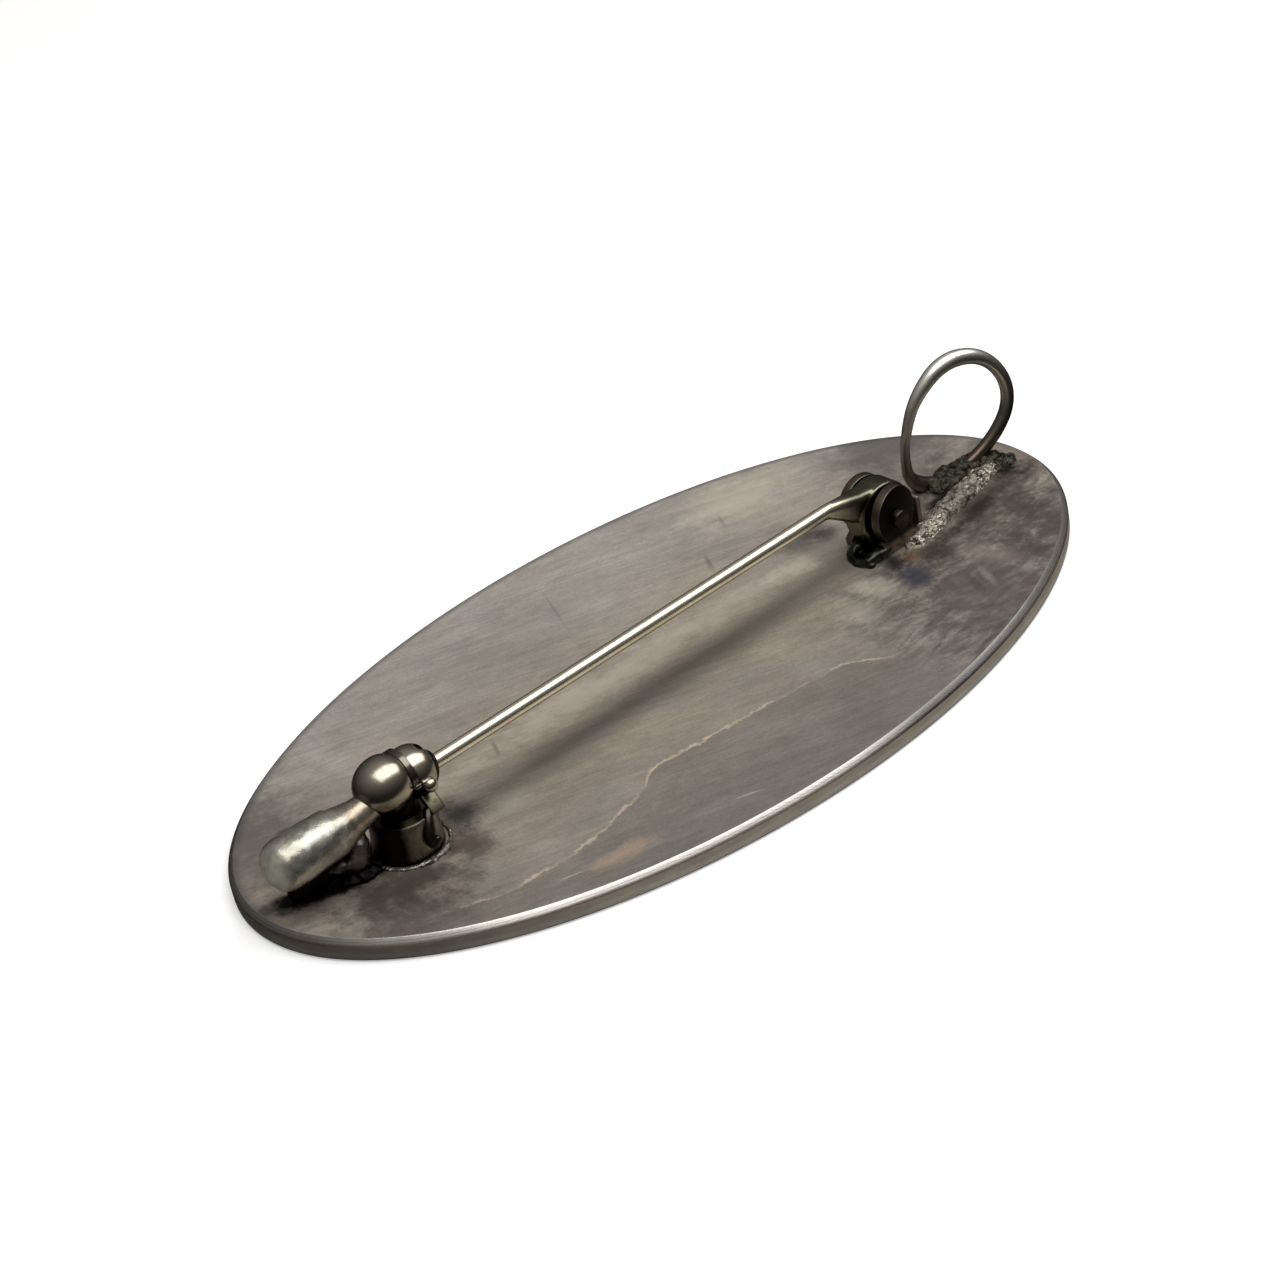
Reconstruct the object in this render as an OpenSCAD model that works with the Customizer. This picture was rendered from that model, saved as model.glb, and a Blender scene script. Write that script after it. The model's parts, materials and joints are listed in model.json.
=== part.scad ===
// Oval pendant brooch lying on its front, back face up.
// Origin: centre of the flat front face. +Z out of the back, +Y towards the bail, +X to the right.
// Heights of the fittings are above the back face.

/* [Plate] */
// Length of the oval plate along Y
plate_l = 70; // [60:1:80]
// Width of the oval plate along X
plate_w = 39.6; // [34:0.2:46]
// Thickness of the plate
plate_t = 1.6; // [1.4:0.1:2]
// Bevel along the back edge of the plate
plate_bevel = 0.4; // [0.1:0.05:0.45]

/* [Pin line] */
// Hinge pin position along X
hinge_x = 1.3; // [0:0.05:2]
// Hinge pin position along Y
hinge_y = 20.1; // [19:0.1:21]
// Small turn of the whole pin line, as soldered by hand
pin_turn = 0.72; // [0:0.02:1]
// Diameter of the pin stem
stem_d = 1.04; // [0.9:0.02:1.1]
// Height of the stem's centre line over the hinge pin
stem_h = 4.85; // [4.75:0.05:4.9]
// Fall of the stem towards the catch, in degrees
stem_fall = 0.3; // [0.2:0.05:0.4]
// Distance from the hinge pin to the stem's point
stem_l = 41.65; // [41.6:0.05:41.7]

/* [Hinge] */
// Height of the hinge pin
hinge_h = 2.5; // [2.45:0.05:2.6]
// Radius of the stem's hub
hub_r = 2.4; // [2.2:0.05:2.4]
// Width of the stem's hub
hub_w = 2; // [1.8:0.05:2.05]
// Radius of the round ears
ear_r = 2.05; // [1.9:0.05:2.1]
// Height of the ears' centres
ear_h = 2.75; // [2.6:0.05:2.85]
// Thickness of each ear
ear_t = 0.72; // [0.6:0.02:0.75]
// Turn of the near ear, whose front edge is bent outwards
near_ear_splay = 7; // [4:1:7]
// Radius of the rivet's shank
rivet_r = 0.6; // [0.5:0.05:0.65]

/* [Catch] */
// Distance from the hinge pin to the catch's base along the pin line
catch_d = 43.95; // [43.8:0.05:44.1]
// Radius of the conical base at the plate
drum_r = 2.65; // [2.4:0.05:2.8]
// Radius of the conical base at its top
drum_top_r = 2.2; // [2:0.05:2.4]
// Height of the conical base
drum_h = 2.8; // [2.6:0.1:2.8]
// Radius of the fixed ball
ball_r = 2; // [1.95:0.01:2.05]
// Height of the ball's centre
ball_h = 5.3; // [5.25:0.05:5.4]
// Height of the turning hood's axis
hood_axis_h = 4.85; // [4.8:0.05:4.9]
// Radius of the turning hood
hood_r = 1.84; // [1.8:0.01:1.88]
// Radius of the thumb knob
knob_r = 0.52; // [0.4:0.02:0.6]

/* [End tube] */
// Radius of the tube's narrow neck
neck_r = 1.05; // [0.95:0.05:1.15]
// Radius of the tube's wide end
tube_r = 1.74; // [1.6:0.02:1.8]
// Length of the tube from the ball's centre to its far end
tube_l = 9.75; // [9:0.05:9.9]
// Height of the tube's centre line at the ball's centre
tube_h = 4.75; // [4.6:0.05:4.8]
// Fall of the tube towards its far end, in degrees
tube_fall = 9; // [6:0.5:10]
// Turn of the tube away from the pin line, in degrees
tube_turn = 6; // [0:0.5:8]

/* [Bail] */
// Mean radius of the wire loop
bail_r = 4.2; // [4:0.05:4.4]
// Radius of the wire round the loop
bail_wire_r = 0.5; // [0.45:0.05:0.6]
// Radius of the wire in the thin leg
bail_leg_r = 0.38; // [0.3:0.02:0.45]
// Height of the loop's centre
bail_h = 5.1; // [5:0.1:5.4]
// Turn of the loop away from the long axis
bail_turn = 13; // [8:1:18]

/* [Hidden] */
$fn = 96;
SILVER = [0.47, 0.44, 0.42];
NICKEL = [0.62, 0.6, 0.52];
back_z = plate_t;
outline_steps = 160;
joint_swell = 1.06;
eps = 0.02;
// Clearances
rivet_hole_gap = 0.02;
hub_bore_gap = 0.05;
slot_gap = 0.08;
hood_gap = 0.05;
face_gap = 0.1;
// Hinge bracket, along the pin line from the hinge pin
ear_inner = 1.13;
near_ear_shift = 0.2;
near_face = ear_inner + near_ear_shift + ear_t;
ear_neck_w = 2.4;
ear_neck_h = 1.9;
foot_t = 0.5;
foot_front = -2.15;
nose_r = 0.55;
nose_h = 0.35;
web_front = 2.5;
web_t = 0.5;
web_h = 3;
rivet_head_r = rivet_r + 0.08;
rivet_proud = 0.45;
rivet_head_t = 0.4;
recess_gap = 0.12;
recess_depth = 0.12;
// Stem root and point
wire_end = -1.5;
root_from = -4.6;
root_to = -1.9;
root_back = -0.3;
root_top = hinge_h + 2.44;
root_t = 0.7;
gusset_from = -4.4;
gusset_foot = -2.2;
gusset_h = 3.2;
point_l = 0.9;
point_r = 0.07;
// Catch, along the pin line from the hinge pin
base_flare = 0.4;
base_flare_h = 0.35;
ball_y = -catch_d - 0.6;
ball_rear = ball_y + 1;
ball_neck_r = 1.35;
hood_y = ball_y + 2.15;
hood_h = hood_axis_h + 0.15;
hood_front = hood_y - 0.75;
spacer_r = 1.66;
spigot_r = 1.22;
spigot_end = hood_y + 0.25;
ridge_r = spigot_r + 0.13;
ridge_from = hood_y - 0.35;
ridge_to = hood_y - 0.1;
stem_h_at_hood = stem_h - catch_d * sin(stem_fall);
stem_way_r = stem_d / 2 + slot_gap;
hood_way_r = stem_way_r + hood_axis_h - stem_h_at_hood;
slot_w = 2 * stem_way_r;
slot_h = 4;
slot_from = -stem_l - 0.12;
// Thumb knob, window and lever round the hood, by angle from its top towards +X and distance from its axis
knob_out = hood_r + 0.12;
ledge_angle = 83;
ledge_t = 0.3;
ledge_from = 1.6;
ledge_to = 2.1;
ledge_l = 0.6;
window_angle = 108;
window_w = 1.1;
window_l = 1;
window_floor = 0.9;
lever_angle = 135;
lever_t = 0.4;
lever_w = 1.1;
lever_from = 1.5;
lever_to = 3.1;
// Turn that keeps the sphere's seam away from the lever and the window
seam_turn = 135;
// End tube, along its own line from the ball's centre, and the post under its neck
tube_neck_l = 3.3;
tube_cone_l = 4.9;
tube_rim = 0.5;
tube_rim_inset = 0.5;
post_x = -0.2;
post_y = ball_y - 2.9;
post_r = 1.3;
post_top_r = 0.75;
post_h = tube_h - 0.6;
// Bail, in its own upright plane with the first coordinate along the plate
bail_x = -1.2;
bail_y = 26;
bail_cy = 4.3;
bail_end_angle = -46;
bail_start_angle = 178;
thick_foot = [5.2, 0.35];
thin_knee = [-0.5, 2];
thin_ankle = [-0.1, 0.6];
thin_foot = [0.9, 0.15];
thin_overlap = 0.2;
// Solder: foot mounds along the bail's plane, and the ridge beside the bail
thin_mound = [0.3, 1.3, 0.6, 0.7];
thick_mound = [5.4, 1.6, 0.8, 0.5];
ridge_x = 3.9;
ridge_y = 23;
ridge_turn = 16;
ridge_l = 8.5;
ridge_wire_r = 0.95;
ridge_sink = 0.5;

// Places its children at the hinge pin, on the back face, turned along the pin line
module on_pin_line() {
    translate([hinge_x, hinge_y, back_z]) rotate([0, 0, pin_turn]) children();
}

// Places its children at the thin leg's foot, on the back face, turned into the bail's plane
module on_bail_line() {
    translate([bail_x, bail_y, back_z]) rotate([0, 0, -bail_turn]) children();
}

// Cylinder along X, centred on x = 0
module across(r, w) {
    rotate([0, 90, 0]) cylinder(r = r, h = w, center = true);
}

// Cylinder or cone along Y from y0 to y1
module along(r, y0, y1, r_end = -1) {
    translate([0, y0, 0]) rotate([-90, 0, 0])
        cylinder(r1 = r, r2 = r_end < 0 ? r : r_end, h = y1 - y0);
}

// Round rod between two points of the YZ plane, with a slightly larger ball at its far end
module rod(a, b, r) {
    d = b - a;
    translate([0, a[0], a[1]]) rotate([-atan2(d[0], d[1]), 0, 0]) cylinder(r = r, h = norm(d));
    translate([0, b[0], b[1]]) sphere(r = r * joint_swell);
}

// Block round the hood's axis: w wide, from y0 to y1 and from r0 to r1, turned from the top towards +X
module round_hood(angle, w, y0, y1, r0, r1) {
    translate([0, 0, hood_axis_h]) rotate([0, angle, 0])
        translate([-w / 2, y0, r0]) cube([w, y1 - y0, r1 - r0]);
}

function oval(w, l) = [for (i = [0 : outline_steps - 1])
    let (a = 360 * i / outline_steps) [w / 2 * cos(a), l / 2 * sin(a)]];

// Ring of the oval's points at a height
function oval_at(w, l, z) = [for (p = oval(w, l)) [p[0], p[1], z]];

module plate() {
    n = outline_steps;
    linear_extrude(plate_t - plate_bevel) polygon(oval(plate_w, plate_l));
    polyhedron(
        concat(oval_at(plate_w, plate_l, plate_t - plate_bevel - eps),
               oval_at(plate_w, plate_l, plate_t - plate_bevel),
               oval_at(plate_w - 2 * plate_bevel, plate_l - 2 * plate_bevel, plate_t)),
        concat([[for (i = [0 : n - 1]) i]],
               [for (k = [0, 1]) for (i = [0 : n - 1])
                   [k * n + i, (k + 1) * n + i, (k + 1) * n + (i + 1) % n, k * n + (i + 1) % n]],
               [[for (i = [n - 1 : -1 : 0]) 2 * n + i]]));
}

// Round ear with its neck and its strip of foot, which ends in a rounded nose.
// It starts at x = 0 and grows towards +X.
module ear(splay) {
    difference() {
        union() {
            translate([ear_t / 2, 0, ear_h]) rotate([0, 0, splay]) across(ear_r, ear_t);
            translate([0, -ear_neck_w / 2, -eps]) cube([ear_t, ear_neck_w, ear_neck_h + eps]);
        }
        translate([ear_t / 2, 0, hinge_h]) across(rivet_r + rivet_hole_gap, 2 * ear_t);
        translate([ear_t, 0, hinge_h]) across(rivet_head_r + recess_gap, 2 * recess_depth);
    }
    translate([0, foot_front, -eps]) cube([ear_t, web_front - foot_front + web_t, foot_t + eps]);
    translate([ear_t / 2, foot_front, nose_h]) across(nose_r, ear_t);
}

// Bracket with two ears, joined behind the hub by an upright web
module hinge_bracket() on_pin_line() {
    translate([ear_inner + near_ear_shift, 0, 0]) ear(near_ear_splay);
    translate([-ear_inner, 0, 0]) mirror([1, 0, 0]) ear(0);
    translate([-ear_inner - ear_t, web_front, -eps])
        cube([near_face + ear_inner + ear_t, web_t, web_h + eps]);
}

// Conical base, neck and ball, and behind the ball the spigot that the hood turns on
module catch_body() on_pin_line() {
    translate([0, -catch_d, -eps]) {
        cylinder(r1 = drum_r + base_flare, r2 = drum_r, h = base_flare_h + eps);
        cylinder(r1 = drum_r, r2 = drum_top_r, h = drum_h + eps);
    }
    translate([0, ball_y, drum_h - eps]) cylinder(r = ball_neck_r, h = ball_h - drum_h - 1);
    difference() {
        translate([0, ball_y, ball_h]) sphere(r = ball_r);
        translate([-ball_r, ball_rear, 0]) cube([2 * ball_r, ball_r, 2 * ball_h]);
    }
    translate([0, 0, hood_axis_h]) {
        along(spacer_r, ball_rear - eps, hood_front - face_gap);
        along(spigot_r, ball_rear - eps, spigot_end);
        along(ridge_r, ridge_from, ridge_to);
    }
}

// Tapered tube beyond the ball, which falls towards its far end, with a post under its neck
module end_tube() on_pin_line() {
    translate([0, ball_y, tube_h]) rotate([tube_fall, 0, -tube_turn]) {
        along(neck_r, -tube_neck_l - eps, 0);
        along(tube_r, -tube_cone_l, -tube_neck_l, neck_r);
        along(tube_r, tube_rim - tube_l, eps - tube_cone_l);
        along(tube_r - tube_rim_inset, -tube_l, tube_rim - tube_l + eps, tube_r);
    }
    translate([post_x, post_y, -eps]) cylinder(r1 = post_r, r2 = post_top_r, h = post_h);
}

// Wire loop with a thin leg in front and a thick leg that runs back to the plate
module bail() on_bail_line() {
    translate([0, bail_cy, bail_h]) rotate([90, 0, 90]) rotate([0, 0, bail_end_angle])
        rotate_extrude(angle = bail_start_angle - bail_end_angle)
            translate([bail_r, 0]) circle(r = bail_wire_r);
    ring_end = [bail_cy + bail_r * cos(bail_end_angle), bail_h + bail_r * sin(bail_end_angle)];
    ring_start = [bail_cy + bail_r * cos(bail_start_angle), bail_h + bail_r * sin(bail_start_angle)];
    rod(ring_end, thick_foot, bail_wire_r);
    rod([ring_start[0], ring_start[1] + thin_overlap], thin_knee, bail_leg_r);
    rod(thin_knee, thin_ankle, bail_leg_r);
    rod(thin_ankle, thin_foot, bail_leg_r);
}

// Low solder round the bail's feet and in a ridge beside them
module solder() {
    on_bail_line() for (m = [thin_mound, thick_mound])
        translate([0, m[0], -eps]) cylinder(r1 = m[1], r2 = m[2], h = m[3]);
    translate([ridge_x, ridge_y, back_z - ridge_sink]) rotate([0, 0, ridge_turn])
        along(ridge_wire_r, 0, ridge_l);
}

module back_plate() color(SILVER) union() {
    plate();
    hinge_bracket();
    catch_body();
    end_tube();
    bail();
    solder();
}

// Hub, flattened root with a gusset below it, round wire and point
module pin_stem() color(NICKEL) on_pin_line() {
    difference() {
        union() {
            translate([0, 0, hinge_h]) across(hub_r, hub_w);
            translate([0, 0, stem_h]) rotate([stem_fall, 0, 0]) {
                along(stem_d / 2, point_l - stem_l, wire_end);
                along(point_r, -stem_l, point_l - stem_l, stem_d / 2);
            }
            translate([0, 0, root_top - root_t]) linear_extrude(root_t)
                polygon([[-stem_d / 2, root_from], [stem_d / 2, root_from],
                         [hub_w / 2, root_to], [hub_w / 2, root_back],
                         [-hub_w / 2, root_back], [-hub_w / 2, root_to]]);
            translate([-stem_d / 2, 0, 0]) rotate([90, 0, 90]) linear_extrude(stem_d)
                polygon([[gusset_from, root_top - root_t + eps], [gusset_foot, gusset_h],
                         [root_back, gusset_h], [root_back, root_top - root_t + eps]]);
        }
        translate([0, 0, hinge_h]) across(rivet_r + hub_bore_gap, hub_w + 1);
    }
}

module hinge_rivet() color(NICKEL) on_pin_line() {
    shank = [-ear_inner - ear_t, near_face];
    translate([0, 0, hinge_h]) {
        translate([(shank[0] + shank[1]) / 2, 0, 0])
            across(rivet_r, shank[1] - shank[0] + 2 * rivet_proud);
        for (end = [shank[0] - rivet_proud + rivet_head_t / 2, shank[1] + rivet_proud - rivet_head_t / 2])
            translate([end, 0, 0]) across(rivet_head_r, rivet_head_t - eps);
    }
}

// Turning hood: bored part ball with a slot at its rear, a knob on a ledge, a side window and a lever
module catch_hood() color(SILVER) on_pin_line() {
    difference() {
        union() {
            difference() {
                translate([0, hood_y, hood_h]) rotate([0, seam_turn, 0]) rotate([90, 0, 0]) sphere(r = hood_r);
                translate([-hood_r, hood_front - hood_r, 0]) cube([2 * hood_r, hood_r, 2 * hood_h]);
            }
            translate([knob_out, hood_y, hood_h]) sphere(r = knob_r);
            round_hood(ledge_angle, ledge_t, hood_y - ledge_l, hood_y, ledge_from, ledge_to);
            round_hood(lever_angle, lever_t, hood_y - lever_w / 2, hood_y + lever_w / 2, lever_from, lever_to);
        }
        translate([0, 0, hood_axis_h]) {
            along(spigot_r + hood_gap, hood_front - 1, spigot_end + face_gap);
            along(ridge_r + hood_gap, ridge_from - hood_gap, ridge_to + hood_gap);
            along(hood_way_r, hood_front, hood_y + hood_r + 1);
        }
        round_hood(0, slot_w, slot_from, hood_y + hood_r + 1, 0, slot_h);
        round_hood(window_angle, window_w, hood_front - 1, hood_front + window_l, window_floor, slot_h);
    }
}

back_plate();
pin_stem();
hinge_rivet();
catch_hood();
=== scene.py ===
import json
from math import acos, atan2, copysign, cos, degrees, hypot, pi, radians, sin, tan
import bmesh
import bpy
from mathutils import Matrix, Vector, noise


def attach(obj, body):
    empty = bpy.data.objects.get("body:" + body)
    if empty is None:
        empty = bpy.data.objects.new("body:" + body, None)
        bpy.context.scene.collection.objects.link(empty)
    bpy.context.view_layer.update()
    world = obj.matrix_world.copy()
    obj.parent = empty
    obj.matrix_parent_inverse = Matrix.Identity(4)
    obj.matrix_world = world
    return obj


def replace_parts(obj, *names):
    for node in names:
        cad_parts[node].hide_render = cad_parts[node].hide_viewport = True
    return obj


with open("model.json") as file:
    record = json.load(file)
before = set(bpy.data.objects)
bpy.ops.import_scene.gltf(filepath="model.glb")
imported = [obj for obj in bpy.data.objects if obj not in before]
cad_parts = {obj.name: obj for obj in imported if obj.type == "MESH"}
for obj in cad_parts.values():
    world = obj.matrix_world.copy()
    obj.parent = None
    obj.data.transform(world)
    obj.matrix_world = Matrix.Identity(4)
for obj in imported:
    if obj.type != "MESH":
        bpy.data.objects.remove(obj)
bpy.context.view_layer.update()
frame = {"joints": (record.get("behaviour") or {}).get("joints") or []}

MM = 0.001

# Camera fitted to the photo: angles in degrees, distance and target in metres
CAMERA_AZIMUTH = 56.39
CAMERA_ELEVATION = 31.82
CAMERA_ROLL = -12.59
CAMERA_DISTANCE = 0.23905
CAMERA_TARGET = (-0.00385, 0.00118, 0.0016)
FOCAL_PIXELS = 3400
IMAGE_PIXELS = 1280
SENSOR = 36

# Plate, in millimetres in the row frame. BACK is the height of its back face
BACK = 1.6
PLATE_HALF = (19.8, 35)
PLATE_SEGMENTS = 256
PLATE_RINGS = 48
# Chamfer along the back edge, as distance in from the edge and drop below the back face
CHAMFER = [(0.46, 0), (0.42, 0.008), (0.39, 0.03), (0.3, 0.115), (0.2, 0.21), (0.1, 0.31),
           (0.03, 0.385), (0.008, 0.42), (0, 0.47)]
WALL_HEIGHTS = (1.1, 0.9, 0.7, 0.5)
FRONT_ROUND = 0.3
FRONT_ROUND_STEPS = 4
FRONT_SHARES = (0.9, 0.6, 0.3, 0.01)
# Unevenness of the back face as (depth, size, shift) noises, and how far it sinks with them
PLATE_WAVES = [(0.05, 9, 0), (0.012, 3.5, 9)]
PLATE_SINK = 0.03
BRUSH_TURN = 20

# Fittings, in millimetres in the pin line's frame. Its origin is on the back face under the rivet,
# and the stem runs from there along its negative Y
HINGE_H = 2.5
HUB_R = 2.4
HUB_HALF = 1
# Ears and web of the hinge bracket, from x to x
NEAR_EAR = (1.3, 2.02)
FAR_EAR = (-1.85, -1.13)
WEB = (-1.85, 1.5)
EAR_SPLAY = 10
# Stem: its wire, the height of its line over the hinge, and its fall towards the catch in degrees
STEM_R = 0.52
STEM_H = 4.85
STEM_FALL = 0.3
# Where along the plate the stem darkens towards its root
STEM_ROOT_ON_PLATE = (14.5, 18.2)
# Catch: base, fixed ball with its collar and spigot, and the turning hood with its bore and slot
CATCH_Y = -43.95
DRUM_H = 2.79
BASE_RING_R = 2.78
BALL = Vector((0, -44.55, 5.3))
BALL_R = 2
BALL_REAR = -43.55
# How much longer the ball is towards the tube
BALL_STRETCH = 1.12
GROOVE_R = 1.58
COLLAR_R = 1.79
COLLAR_FRONT = -43.5
COLLAR_REAR = -42.98
SPIGOT_R = 1.22
SPIGOT_END = -42.15
HOOD_AXIS_H = 4.85
HOOD = Vector((0, -42.4, 5))
HOOD_R = 1.84
HOOD_FRONT = -42.93
BORE_R = 1.27
BORE_END = -42.05
WAY_R = 0.85
# Within this radius the collar and the hood get black painted shade
HOOD_SHADE_R = 1.6
SLOT_W = 1.2
SLOT_FROM = -41.77
KNOB = Vector((1.94, HOOD.y, 4.72))
KNOB_R = 0.52
# Directions round the hood's axis, from the top towards +X
WINDOW_ANGLE = 108
WINDOW_W = 1.1
LEDGE_ANGLE = 83
LEVER_ANGLE = 135
# Where along the plate the end tube turns into its neck
TUBE_NECK_ON_PLATE = (-28.6, -27.6)
# Places on the plate of the hood's axis and of the catch's base
HOOD_ON_PLATE = (1.83, -22.3)
DRUM_ON_PLATE = (1.85, -23.85)
# Direction on the plate towards the base's lit side, away from its painted shadow
DRUM_LIT_SIDE = (0.553, 0.833)

# Bail, in millimetres in its own plane: distance along it, height and wire radius
BAIL_FOOT = (-1.3, 26.1)
BAIL_TURN = -12
BAIL_WIRE = [
    (1.5, 0.15, 0.5), (0.8, 0.3, 0.6), (0.2, 0.65, 0.62), (-0.25, 1.2, 0.52), (-0.5, 2, 0.42),
    (-0.42, 3.6, 0.36), (0, 5.2, 0.39), (0.75, 6.8, 0.45), (1.85, 8.05, 0.54), (3.2, 8.95, 0.61),
    (4.7, 9.2, 0.63), (6.3, 8.75, 0.58), (7.55, 7.75, 0.52), (8.4, 6.3, 0.5), (8.65, 4.8, 0.5),
    (8.3, 3.4, 0.5), (7.4, 2.2, 0.5), (6.3, 1.3, 0.5), (5.2, 0.7, 0.48), (4.2, 0.35, 0.42)]

# Radius of a turned shape on its axis, where zero would leave doubled points
AXIS = 0.01
# Angles of the rings that round off a swept wire's end
CAP_ANGLES = (75, 50, 25)

# Plate colours from left to right and where it is cool, and how dark the right side gets
PLATE_LEFT = (0.62, 0.575, 0.52)
PLATE_MIDDLE = (0.62, 0.54, 0.45)
PLATE_RIGHT = (0.6, 0.545, 0.49)
PLATE_COOL = (0.55, 0.535, 0.51)
PLATE_FALL = 0.7
PLATE_ROUGHNESS = 0.62
PLATE_METALLIC = 0.95
RIM_TINT = (0.15, 0.15, 0.15)
# Bevel colours: lower down, and high up with a painted highlight on the polished part
BEVEL_LOW = (0.3, 0.25, 0.22)
BEVEL_HIGHLIGHT = (0.52, 0.5, 0.465)
BEVEL_ROUGHNESS = 0.25
WALL_LOW = (0.32, 0.3, 0.25)
WALL_HIGH = (0.285, 0.24, 0.185)
WALL_METALLIC = 0.35
BARE_METAL = (1, 1, 1)
# Painted shadow of the stem, a soft band: the point of the plate that it lies round, and its colour
STEM_SHADOW = (2, -2)
STEM_SHADOW_TINT = (0.09, 0.085, 0.065)
# Line where two bands of tarnish meet, as (y, x) on the plate, with x from 0 to the reach
STAIN_LINE = [(-35, 7.5), (-29, 9.2), (-25.7, 10.4), (-23.4, 11.4), (-20, 11.8), (-16.4, 11.8),
              (-13.3, 11.1), (-10.3, 10.1), (-8.2, 9.05), (-4.6, 9.4), (0.4, 9.8), (4.3, 10.2),
              (7.5, 10.8), (9.3, 12.6), (14, 14.5), (35, 16)]
STAIN_REACH = 20
STAIN_TINT = (0.9, 0.74, 0.6)
# Some of these marks are painted light and shade, as their group notes say
# Marks on the plate, each drawn over those before it: centre, half sizes, turn, colour and strength
PLATE_MARKS_AND_PAINTED_LIGHT = [
    # Broad dark clouds at both ends
    ((3, 27.5), (9.5, 8.5), -12, (0.12, 0.1, 0.085), 0.85),
    ((-8, 29.5), (9, 7.5), 0, (0.18, 0.17, 0.165), 0.75),
    ((11.5, 20), (9, 11), -15, (0.17, 0.145, 0.13), 0.8),
    ((10.5, 28.5), (6.5, 6.5), -20, (0.13, 0.11, 0.1), 0.8),
    ((-3.6, 16.6), (3.4, 2.8), 10, (0.16, 0.145, 0.14), 0.75),
    ((-8, -30), (10, 7.5), 20, (0.19, 0.175, 0.16), 0.75),
    ((8.5, -28.5), (6.5, 6), 30, (0.17, 0.145, 0.13), 0.75),
    ((5, -27), (5.5, 7), 20, (0.11, 0.085, 0.07), 0.85),
    # Painted light beside the stem, clear metal at the upper left, and an orange stain
    ((-1.9, -2), (2.2, 27), 0.7, (0.95, 0.86, 0.74), 0.45),
    ((-12.5, 18), (5, 8), 0, (0.92, 0.82, 0.7), 0.6),
    ((14.7, -15.9), (1.3, 3.8), 8, (0.76, 0.57, 0.43), 0.55),
    # Dark and light patches round the hinge
    ((6.8, 18.2), (3.4, 2.2), 20, (0.08, 0.083, 0.105), 0.85),
    ((5.6, 20.8), (2.8, 2.4), 0, (0.08, 0.065, 0.055), 0.85),
    ((5.4, 15.2), (3, 1.7), -20, (0.84, 0.78, 0.66), 0.5),
    ((6.8, 12.5), (2.6, 2.2), 0, (0.74, 0.68, 0.58), 0.5),
    ((11.2, 20.8), (2, 0.5), 20, (0.5, 0.45, 0.4), 0.55),
    ((11.4, 19.6), (2, 0.5), 20, (0.12, 0.1, 0.1), 0.5),
    ((-3.4, 18.2), (2, 1.8), 10, (0.08, 0.07, 0.06), 0.75),
    ((-1.5, 13.5), (1.8, 3), 8, (0.9, 0.84, 0.72), 0.55),
    ((9.3, 23), (3.6, 1.4), -12, (0.44, 0.38, 0.32), 0.45),
    # Painted shadow at the catch's base on the tube's side and beyond the hood, then patches
    ((0.6, -25.6), (2, 2), 0, (0.012, 0.01, 0.009), 0.9),
    ((2, -19.8), (3.2, 2.6), 0, (0.05, 0.05, 0.05), 0.85),
    ((4.9, -21.4), (2.6, 2.6), 0, (0.12, 0.09, 0.07), 0.75),
    ((3.9, -16.6), (1.5, 1.8), 0, (0.62, 0.6, 0.5), 0.5),
    ((-6.8, -28.2), (0.35, 1.2), 12, (0.1, 0.07, 0.05), 0.6),
    # Painted shade, mostly black, in the corners of the bail's solder and at the hinge's foot
    ((1.6, 32.2), (3.2, 2.2), 0, (0.022, 0.022, 0.02), 0.95),
    ((4.2, 26.8), (1.2, 6), -15.8, (0.05, 0.036, 0.028), 0.9),
    ((1, 26.5), (1.2, 3.6), -15.8, (0.02, 0.02, 0.016), 0.95),
    ((4.9, 19.4), (1, 1.3), 0, (0.3, 0.16, 0.08), 0.7),
    ((3.9, 18.4), (2.1, 1.5), 0, (0.025, 0.022, 0.022), 0.9),
    # Scratches, four dark and two bright
    ((-7.5, 10.9), (0.3, 1.8), 116, (0.24, 0.2, 0.16), 0.5),
    ((-11, 15.3), (0.3, 1.5), 114, (0.26, 0.23, 0.2), 0.45),
    ((-2.1, -13.4), (0.3, 1.6), 114, (0.2, 0.17, 0.14), 0.5),
    ((-12.1, 0.1), (0.14, 4.9), 111, (0.3, 0.27, 0.24), 0.4),
    ((16.5, -6.95), (0.13, 1.4), 22.8, (1, 1, 0.97), 0.35),
    ((13.7, -19.3), (0.12, 1.2), 16.7, (1, 1, 0.97), 0.35),
]
# Painted shade: share of its colour that metal keeps where it faces the plate
UNDERSIDE_SHADE = 0.2
# Plain metals: colour, tarnish, roughness, grain, share of tarnish and depth of the grain
METALS = {
    "rivet": ((0.06, 0.05, 0.043), (0.026, 0.022, 0.02), 0.28, 2.5, 0.7, 0.01),
    "bracket_web": ((0.3, 0.25, 0.205), (0.16, 0.13, 0.1), 0.45, 2.5, 0.6, 0.01),
    "bracket_foot": ((0.06, 0.062, 0.048), (0.01, 0.01, 0.008), 0.3, 3, 0.95, 0),
    "dark_hook": ((0.05, 0.045, 0.036), (0.012, 0.01, 0.009), 0.24, 2, 0.7, 0),
    "hood_lever": ((0.17, 0.16, 0.11), (0.05, 0.045, 0.03), 0.26, 3, 0.8, 0),
    # Black metal for the spigot and the tube's seat, as painted shade
    "black_for_shade": ((0.012, 0.012, 0.01), (0.006, 0.006, 0.005), 0.5, 3, 0.5, 0),
}
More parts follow.
